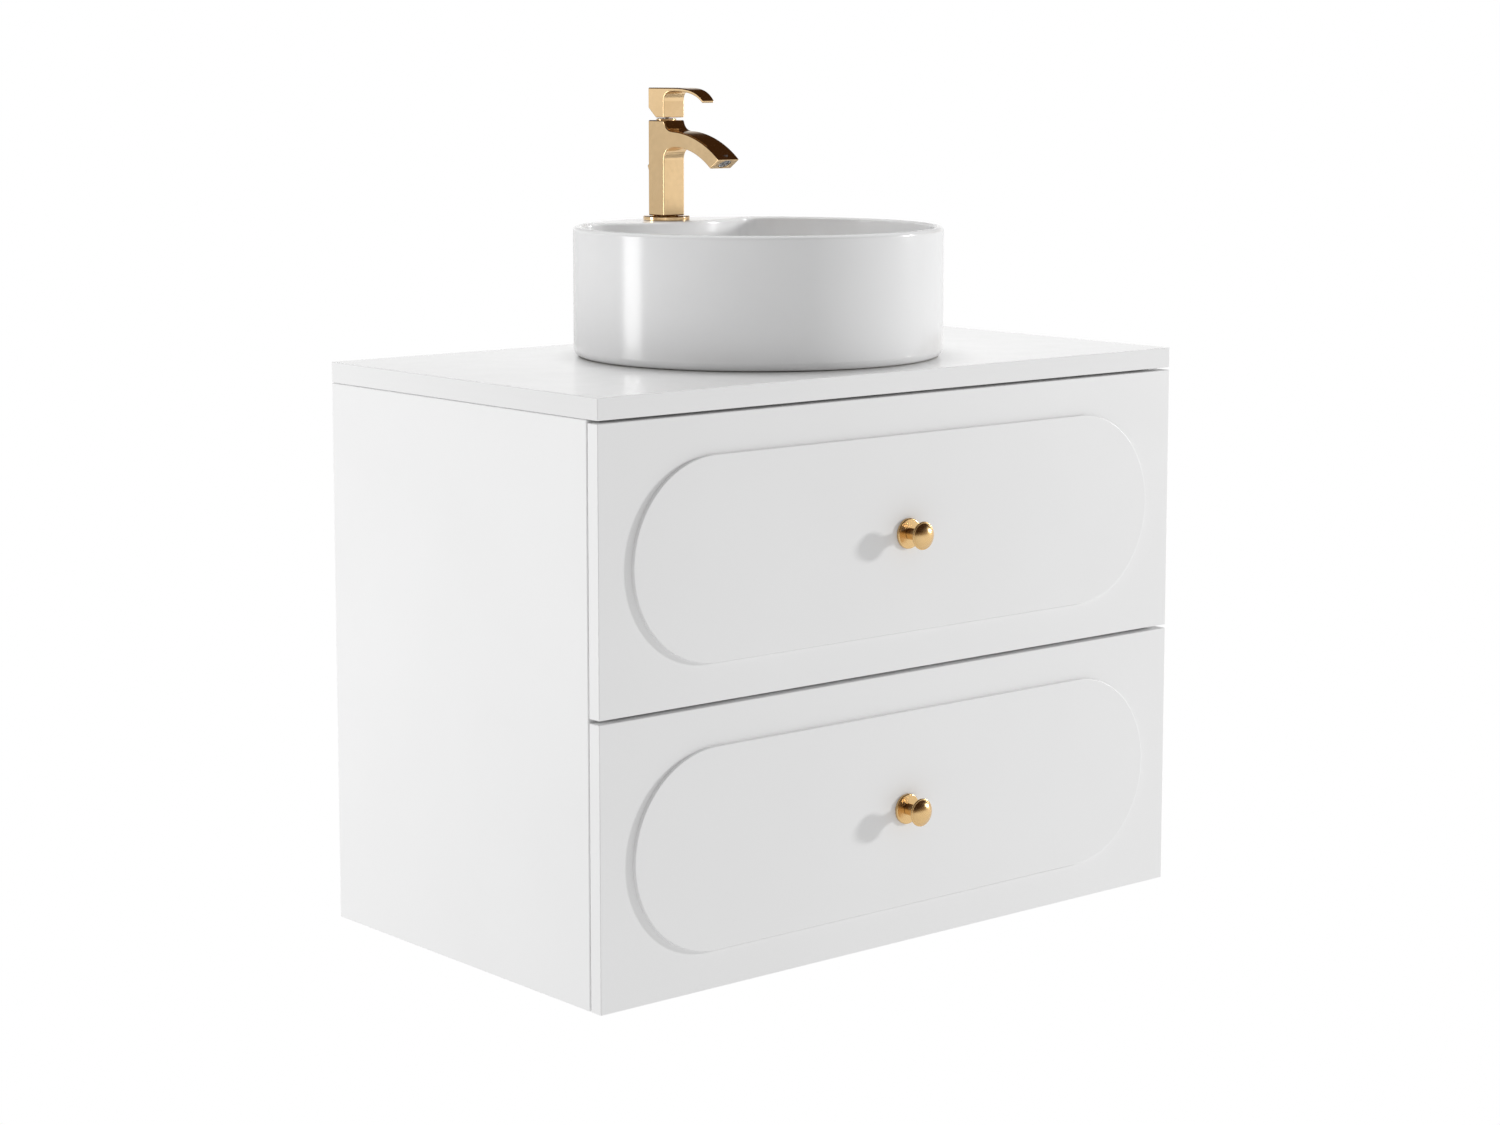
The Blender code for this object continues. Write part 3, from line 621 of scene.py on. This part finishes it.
def waste():
    """Flange that sits on the sump's ledge, and the plug standing open above it."""
    seat = BASE_Z + SUMP - SUMP_LEDGE + GAP
    flange = soften([(31.5, seat + 1.6, 0.7), (31.5, seat, 0.2), (21, seat), (21, seat - 8)], 5)
    flange += thread(21, seat - 9, BASE_Z - 24, 1.6)
    flange += [(21, BASE_Z - 28.3), (17.5, BASE_Z - 28.3)]
    flange += soften([(17.5, seat - 3.5, 1.5), (20.6, seat + 2.0, 1.0), (30, seat + 2.6, 0.6)], 6)
    axis = (0, BASIN_Y, 0)
    piece("waste_rim", move(revolve(flange, 128), axis), "polished_gold", "cabinet",
          "waste_flange")
    open_plug = (0, BASIN_Y, seat + 6)
    stem_end = low("waste_plug").z - seat - 6
    dome = bezier((0, 2.9), (8, 2.9), (14, 2.3), (18.2, 1.1), 14)
    plug = dome + soften([(18.9, 0.7, 0.3), (17.8, -0.6, 0.4), (16.6, -3.0, 0.6), (4, -4, 0.8),
                          (3, -6, 0.8), (3, stem_end, 0.5), (0, stem_end)], 4)
    piece("waste_stopper", move(revolve(plug, 96), open_plug), "polished_gold", "plug",
          "waste_plug")


def pull_rod():
    top = high("popup_pull_rod").z
    foot = low("popup_pull_rod").z - top
    head = bezier((0, 0), (4, 0), (7.3, -0.3), (7.3, -2.2), 12)
    shank = bezier((7.3, -2.2), (6.9, -5), (5.6, -8), (5.6, -9.6), 10)[1:]
    profile = head + shank + soften([(5.2, -10.4, 0.4), (4.0, -11.2, 0.4), (2, -12.5, 0.6),
                                     (2, foot, 0.4), (0, foot)], 4)
    piece("popup_lift_rod", move(revolve(profile, 64), (0, ROD_Y, top)), "polished_gold",
          "pull_rod", "popup_pull_rod", smooth=45)


# --- Plumbing under the basin --------------------------------------------------------------

def cone_edged_hex(name, radius, height, edge):
    """Hexagon nut blank whose corners are turned off at both faces, standing on its base."""
    obj = to_object(name, extrude(arc((0, 0), radius, 0, 360, 7)[:-1], 0, height, "z"))
    cone = revolve([(0, 0), (radius - edge, 0), (radius, edge * 0.6),
                    (radius, height - edge * 0.6), (radius - edge, height), (0, height)], 96)
    return combine(obj, cone, "INTERSECT")


def tailpiece():
    """Brass tube under the waste, with the ball rod's port, and the nut above it."""
    foot = (0, BASIN_Y, low("waste_tailpiece").z)
    ring = (thread(25, 191, 186, 1.6) + soften([(25, 184, 0.5), (25, 160, 1.0), (19.5, 156, 1.5),
            (19.5, 120, 2.0), (16, 116, 1.5), (16, 0, 0.4), (14.2, 0, 0.4), (14.2, 114, 1.0),
            (17, 120, 1.0), (17, 174.7), (21.3, 174.7), (21.3, 191)], 4))
    tube = to_object("tailpiece_tube", move(revolve(ring, 96), foot))
    port = (0, high("waste_tailpiece").y, foot[2] + 140)
    neck = revolve(soften([(0, 0), (8.2, 0, 0.4), (9, 0.9, 0.4), (9, 15.8, 0.4), (0, 15.8)], 4), 64)
    combine(tube, move(neck, port, FORWARD), "UNION")
    bore = rod(6.2, -5, 24, 48)
    combine(tube, move(bore, port, FORWARD))
    show(tube, "raw_brass", "cabinet", "waste_tailpiece")

    nut = cone_edged_hex("tail_nut", 33, 10, 1.6)
    combine(nut, rod(21.3, -2, 12))
    move(nut.data, (0, BASIN_Y, low("waste_nut").z))
    show(nut, "raw_brass", "cabinet", "waste_nut")


def bottle_trap():
    """Cup with an outlet socket, ribbed cap, outlet pipe and the rosette on the wall."""
    foot = (0, BASIN_Y, low("trap_cup").z)
    outlet = (low("trap_outlet_pipe").z + high("trap_outlet_pipe").z) / 2
    inside = soften([(0, 3), (20.5, 3, 5), (28.5, 13, 5), (28.5, 118, 0.4)], 8)
    outside = soften([(31, 118, 0.4), (31, 10, 6), (21, 0, 6), (0, 0)], 8)
    cup = to_object("trap_bottle", move(revolve(inside + outside, 96), foot))
    socket = revolve(soften([(0, 0), (18.0, 0, 0.3), (18.6, 0.8, 0.4), (18.6, 25), (0, 25)], 4), 96)
    combine(cup, move(socket, (0, BASIN_Y + 52, outlet), FORWARD), "UNION")
    bore = rod(16.4, -8, 37)
    combine(cup, move(bore, (0, BASIN_Y + 52, outlet), FORWARD))
    show(cup, "white_plastic", "cabinet", "trap_cup")

    ribs, steps = 30, 8
    crown = []
    for radius, height in soften([(16.4, 22.5, 0.4), (34, 22.5, 1.6), (35, 19, 1.0),
                                  (35, 1.5, 1.0), (33.6, 0, 0.4), (31.4, 0, 0.3), (31.4, 8.8),
                                  (16.4, 8.8)], 4):
        depth = 0.9 if radius > 34 else 0.0
        loop = []
        for i in range(ribs * steps):
            angle = 2 * math.pi * i / (ribs * steps)
            r = radius - depth * (0.5 - 0.5 * math.cos(ribs * angle)) ** 2
            loop.append((r * math.cos(angle), r * math.sin(angle), height))
        crown.append(loop)
    piece("trap_ribbed_cap", move(loft(crown, closed=True), (0, BASIN_Y, low("trap_cap").z)),
          "white_plastic", "cabinet", "trap_cap")

    end, start = high("trap_outlet_pipe").y, low("trap_outlet_pipe").y
    pipe = soften([(16, end - start, 0.4), (16, 0, 0.6), (14.2, 0, 0.4), (14.2, end - start, 0.4)],
                  4)
    piece("outlet_tube", move(revolve(pipe, 96), (0, end, outlet), FORWARD), "white_plastic",
          "cabinet", "trap_outlet_pipe")
    dish = (bezier((16.4, 9), (20.5, 9), (20, 3.2), (33.4, 2.0), 20)
            + soften([(34, 1.6, 0.4), (34, 0, 0.2), (16.4, 0)], 4))
    piece("wall_rosette", move(revolve(dish, 128), (0, high("wall_flange").y, outlet), FORWARD),
          "white_plastic", "cabinet", "wall_flange")


def tap_fixings():
    """Hose inlets, threaded stud and its nut."""
    for node in ("cold_inlet", "hot_inlet"):
        a, b = low(node), high(node)
        ring = (soften([(4.8, 74, 0.4), (4.8, 16, 0.3), (6, 16, 0.4)], 4)
                + thread(6, 14.8, 1, 1.0, 0.45) + [(5.2, 0), (2.6, 0), (2.6, 74)])
        piece(f"{node}_tail", move(revolve(ring, 48), ((a.x + b.x) / 2, (a.y + b.y) / 2, a.z)),
              "raw_brass", "cabinet", node)
    a, b = low("tap_stud"), high("tap_stud")
    stud = [(0, 74), (2.4, 74)] + thread(3, 73.4, 0.6, 1.0) + [(2.3, 0), (0, 0)]
    axis = ((a.x + b.x) / 2, (a.y + b.y) / 2)
    piece("threaded_stud", move(revolve(stud, 32), (*axis, a.z)), "zinc_steel", "cabinet",
          "tap_stud")
    nut = cone_edged_hex("stud_nut", 5.8, 6, 0.7)
    combine(nut, rod(3.3, -2, 8, 48))
    move(nut.data, (*axis, low("tap_stud_nut").z))
    show(nut, "zinc_steel", "cabinet", "tap_stud_nut")


def knob_screw(level):
    """Pan-head screw that holds the knob from inside the drawer."""
    node = f"{level}_knob_screw"
    a, b = low(node), high(node)
    head = bezier((0, 0), (2.6, 0), (4.5, 0.4), (4.5, 1.5), 12) + [(4.5, 2.2), (2, 2.2)]
    length = b.y - a.y
    profile = head + thread(2, length - 1, length - 26, 0.7, 0.25)[::-1] + [(0, length)]
    screw = to_object(f"{level}_pan_screw", revolve(profile, 48))
    for turn in (0, 90):
        recess = block((-2.3, -0.45, -1), (2.3, 0.45, 1.3))
        recess.transform(Matrix.Rotation(math.radians(turn), 4, "Z"))
        combine(screw, recess)
    move(screw.data, (0, b.y, (a.z + b.z) / 2), FORWARD)
    show(screw, "zinc_steel", f"{level}_drawer", node)


# --- Drawer fronts and knobs ---------------------------------------------------------------

RAISE = 4.0                    # raised panel above the slab
PANEL_INSET = 40.0


def drawer_front(level):
    """Slab with a raised panel whose ends are half circles."""
    node = f"{level}_drawer_front"
    a, b = low(node), high(node)
    face = a.y + RAISE
    middle = (a.z + b.z) / 2
    body = f"{level}_drawer"
    slab = to_object(f"{level}_front", block((a.x, face, a.z), (b.x, b.y, b.z)))
    bore_at = (0, b.y + 5, middle)
    combine(bevel(slab, 0.9, 4), move(rod(2.5, 0, 40, 32), bore_at, FORWARD))
    show(slab, "white_lacquer", body, node, smooth=30)
    radius = (b.z - a.z) / 2 - PANEL_INSET
    straight = b.x - PANEL_INSET - radius
    outline = (arc((straight, middle), radius, -90, 90, 97)
               + arc((-straight, middle), radius, 90, 270, 97))
    panel = to_object(f"{level}_raised_panel", extrude(outline, a.y, face + 2, "y"))
    combine(bevel(panel, 1.0, 5, 60), move(rod(2.5, 0, 40, 32), bore_at, FORWARD))
    show(panel, "white_lacquer", body, smooth=30)
    return Vector((0, a.y, middle))


def knob(level, place):
    """Mushroom knob on a rosette; z is the distance from the panel's face."""
    base = place + FORWARD * GAP
    body = f"{level}_drawer"
    rosette = soften([(16, 0, 0.3), (16, 3.0, 1.3), (2.6, 3.0, 0.2), (2.6, 0)], 7)
    piece(f"{level}_rosette", move(revolve(rosette, 128), base, FORWARD), "satin_gold", body,
          f"{level}_knob_rosette", smooth=50)
    dome = bezier((0, 29.2), (6.2, 29.2), (11.0, 27.0), (13.25, 23.8), 22)
    bead = arc((13.6, 22.45), 1.15, 105, -60, 12)
    under = bezier((14.0, 21.2), (11.4, 18.2), (6.0, 17.4), (6.0, 11.4), 18)
    profile = dome + bead + under + [(6.0, 3.4), (0, 3.4)]
    head = to_object(f"{level}_knob_head", move(revolve(profile, 128), base, FORWARD))
    bore = rod(2.4, 0, 22, 32)
    combine(head, move(bore, place - FORWARD * 5, FORWARD))
    show(head, "satin_gold", body, f"{level}_knob", smooth=40)


# --- Boards and hardware carried over ------------------------------------------------------

def dress(node, look, edge=0.0, segments=2):
    """A CAD node whose shape is right gets its finish and, where it has none, softer edges."""
    obj = frame["nodes"][node]
    obj.data.materials.clear()
    obj.data.materials.append(LOOKS[look])
    if edge:
        weld = obj.modifiers.new("weld", "WELD")
        weld.merge_threshold = 0.01 * MM
        bevel(obj, edge, segments, 50)


def carried_over():
    slots = {row["node"]: row["material_slot"] for row in frame["record"]["subparts"]}
    plain = ("bottom_panel", "front_top_rail", "hanging_rail", "lower_back_rail",
             "upper_drawer_floor", "lower_drawer_floor")
    for node, obj in frame["nodes"].items():
        if obj.hide_render:
            continue
        dress(node, slots[node], 0.5 if node in plain else 0.0)


# --- Stage, light and camera ---------------------------------------------------------------

def by_ray(nodes, links, camera_look, mirror_look, fill_look):
    """Shader that shows one look to the camera, one to reflections and one to everything else."""
    rays = nodes.new("ShaderNodeLightPath")
    by_gloss = nodes.new("ShaderNodeMixShader")
    by_camera = nodes.new("ShaderNodeMixShader")
    links.new(rays.outputs["Is Glossy Ray"], by_gloss.inputs["Fac"])
    links.new(fill_look, by_gloss.inputs[1])
    links.new(mirror_look, by_gloss.inputs[2])
    links.new(rays.outputs["Is Camera Ray"], by_camera.inputs["Fac"])
    links.new(by_gloss.outputs["Shader"], by_camera.inputs[1])
    links.new(camera_look, by_camera.inputs[2])
    return by_camera.outputs["Shader"]


def glow(nodes, kind, strength=1.0):
    node = nodes.new(kind)
    node.inputs["Color"].default_value = (1, 1, 1, 1)
    node.inputs["Strength"].default_value = strength
    return node


def remap(nodes, links, value, before, after):
    node = nodes.new("ShaderNodeMapRange")
    node.inputs["From Min"].default_value, node.inputs["From Max"].default_value = before
    node.inputs["To Min"].default_value, node.inputs["To Max"].default_value = after
    links.new(value, node.inputs["Value"])
    return node.outputs["Result"]


def toward_front_right(nodes, links, vector):
    """How far a direction or place lies towards the key light, in plan."""
    dot = nodes.new("ShaderNodeVectorMath")
    dot.operation = "DOT_PRODUCT"
    dot.inputs[1].default_value = (0.646, -0.763, 0)
    links.new(vector, dot.inputs[0])
    return dot.outputs["Value"]


def stage():
    """Pale floor below the hanging cabinet, clear when seen from underneath."""
    sheet = bmesh.new()
    corners = ((-6, -6, 0), (6, -6, 0), (6, 6, 0), (-6, 6, 0))
    sheet.faces.new([sheet.verts.new(corner) for corner in corners])
    floor = to_object("floor", sheet)
    floor.location.z = CAD_BOX[0].z - 0.32
    mat = bpy.data.materials.new("pale_floor")
    mat.use_nodes = True
    nodes, links = mat.node_tree.nodes, mat.node_tree.links
    nodes.remove(nodes["Principled BSDF"])
    place = nodes.new("ShaderNodeTexCoord")
    mirror = glow(nodes, "ShaderNodeEmission")
    along = toward_front_right(nodes, links, place.outputs["Object"])
    links.new(remap(nodes, links, along, (-2, 2), LOW_MIRROR), mirror.inputs["Strength"])
    look = by_ray(nodes, links, glow(nodes, "ShaderNodeEmission").outputs[0], mirror.outputs[0],
                  glow(nodes, "ShaderNodeEmission", FLOOR_FILL).outputs[0])
    clear = nodes.new("ShaderNodeBsdfTransparent")
    side = nodes.new("ShaderNodeNewGeometry")
    mix = nodes.new("ShaderNodeMixShader")
    links.new(side.outputs["Backfacing"], mix.inputs["Fac"])
    links.new(look, mix.inputs[1])
    links.new(clear.outputs["BSDF"], mix.inputs[2])
    links.new(mix.outputs["Shader"], nodes["Material Output"].inputs["Surface"])
    floor.data.materials.append(mat)


def grey_ramp(nodes, links, value, stops):
    ramp = nodes.new("ShaderNodeValToRGB")
    elements = ramp.color_ramp.elements
    for i, (height, colour) in enumerate(stops):
        position = height / 2 + 0.5
        stop = elements[i] if i < 2 else elements.new(position)
        stop.position, stop.color = position, (*colour, 1)
    links.new(remap(nodes, links, value, (-1, 1), (0, 1)), ramp.inputs["Fac"])
    return ramp.outputs["Color"]


def world():
    """White surroundings that fill softly; reflections see a dark room above the horizon."""
    made = bpy.data.worlds.new("studio")
    bpy.context.scene.world = made
    made.use_nodes = True
    nodes, links = made.node_tree.nodes, made.node_tree.links
    nodes.clear()
    place = nodes.new("ShaderNodeTexCoord")
    split = nodes.new("ShaderNodeSeparateXYZ")
    links.new(place.outputs["Generated"], split.inputs["Vector"])
    height = split.outputs["Z"]
    back = grey_ramp(nodes, links, height, ((-0.02, (1, 1, 1)), (0.34, ROOM_DARK),
                                            (0.08, BACKDROP)))
    front = grey_ramp(nodes, links, height, ((-0.02, (1, 1, 1)), (0.3, ROOM_DARK),
                                             (0.02, ROOM_HORIZON)))
    room = nodes.new("ShaderNodeMix")
    room.data_type = "RGBA"
    links.new(remap(nodes, links, split.outputs["Y"], (0.2, 0.6), (0, 1)),
              room.inputs["Factor"])
    links.new(front, room.inputs["A"])
    links.new(back, room.inputs["B"])
    below = nodes.new("ShaderNodeMath")
    below.operation = "LESS_THAN"
    below.inputs[1].default_value = 0.0
    links.new(height, below.inputs[0])
    along = toward_front_right(nodes, links, place.outputs["Generated"])
    strength = nodes.new("ShaderNodeMix")
    links.new(below.outputs["Value"], strength.inputs["Factor"])
    strength.inputs["A"].default_value = 1.0
    links.new(remap(nodes, links, along, (-1, 1), LOW_MIRROR), strength.inputs["B"])
    mirror = glow(nodes, "ShaderNodeBackground")
    links.new(room.outputs["Result"], mirror.inputs["Color"])
    links.new(strength.outputs["Result"], mirror.inputs["Strength"])
    look = by_ray(nodes, links, glow(nodes, "ShaderNodeBackground").outputs[0],
                  mirror.outputs[0], glow(nodes, "ShaderNodeBackground", SKY_FILL).outputs[0])
    links.new(look, nodes.new("ShaderNodeOutputWorld").inputs["Surface"])


def softbox(name, direction, distance, size, power, target=None):
    lamp = bpy.data.lights.new(name, "AREA")
    lamp.shape = "RECTANGLE"
    lamp.size, lamp.size_y = size
    lamp.energy = power
    obj = bpy.data.objects.new(name, lamp)
    bpy.context.scene.collection.objects.link(obj)
    toward = Vector(direction).normalized()
    obj.location = (target or (CAD_BOX[0] + CAD_BOX[1]) / 2) + toward * distance
    obj.rotation_mode = "QUATERNION"
    obj.rotation_quaternion = toward.to_track_quat("Z", "Y")
    obj.visible_camera = False
    return obj


SKY_FILL = 0.45
FLOOR_FILL = 0.87
LOW_MIRROR = (0.64, 0.98)      # below the horizon in reflections, left rear to right front
BACKDROP = (0.95, 0.95, 0.95)  # just above it, behind the object
ROOM_HORIZON = (0.34, 0.25, 0.16)
ROOM_DARK = (0.042, 0.018, 0.006)
KEY_POWER = 97.0
STRIP_POWER = 15.0
SIDE_POWER = 3.0
TOP_POWER = 41.0


def lights():
    knobs = Vector((0, CAD_BOX[0].y, -0.1))
    softbox("key", (0.907, -0.394, 0.163), 4.4, (0.32, 0.32), KEY_POWER, knobs)
    softbox("left_strip", (-0.854, 0.52, 0.02), 2.4, (0.56, 1.35), STRIP_POWER)
    softbox("left_side", (-0.92, 0.25, 0.1), 2.4, (0.9, 1.2), SIDE_POWER).visible_glossy = False
    softbox("top", (0.05, 0.15, 1.0), 3.0, (0.9, 0.9), TOP_POWER).visible_glossy = False


SENSOR = 36.0
LENS = 74.8
CAMERA_AT = (-2.1830, -2.7926, 0.3945)
HEADING = 40.24                # degrees to the right of straight at the wall
EYE_RISE = 0.33789             # eye level above the frame's middle, in frame widths
SHIFT = -0.08                  # a larger shift would push the object out of the other views


def camera():
    data = bpy.data.cameras.new("camera")
    data.sensor_width = SENSOR
    data.lens = LENS
    data.shift_y = SHIFT
    data.clip_end = 50
    obj = bpy.data.objects.new("camera", data)
    bpy.context.scene.collection.objects.link(obj)
    obj.location = CAMERA_AT
    pitch = math.atan((EYE_RISE + SHIFT) * SENSOR / LENS)
    obj.rotation_euler = (math.pi / 2 - pitch, 0, -math.radians(HEADING))
    bpy.context.scene.camera = obj


basin()
tap()
waste()
pull_rod()
tailpiece()
bottle_trap()
tap_fixings()
for drawer_level in ("upper", "lower"):
    knob(drawer_level, drawer_front(drawer_level))
    knob_screw(drawer_level)
carried_over()
stage()
world()
lights()
camera()
bpy.context.scene.view_settings.view_transform = "Standard"
